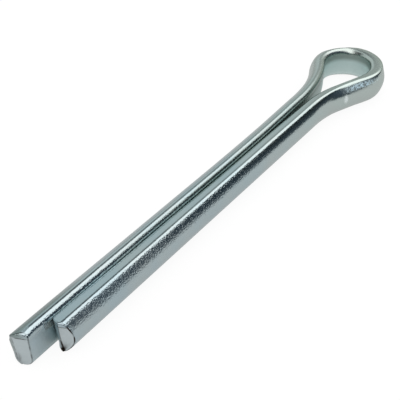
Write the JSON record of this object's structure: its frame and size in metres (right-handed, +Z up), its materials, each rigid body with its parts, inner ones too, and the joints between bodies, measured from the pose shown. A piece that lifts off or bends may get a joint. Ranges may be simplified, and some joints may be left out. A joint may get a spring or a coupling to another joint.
{
  "type": "cotter pin",
  "caption": "Split pin of half-round steel wire folded into an open eye, its straight legs lying together and sheared off at a slant, with one reaching past the other.",
  "frame": {"origin": "on the shank's axis, where the legs become straight under the eye", "axes": "+X along the shank towards the legs' ends, +Y from the long leg towards the short leg, +Z up through the eye"},
  "size_m": [0.081, 0.013, 0.0052],
  "materials": {
    "zinc_plated_steel": "gloss"
  },
  "bodies": {
    "root": {"cotter_pin": "zinc_plated_steel"}
  },
  "joints": []
}
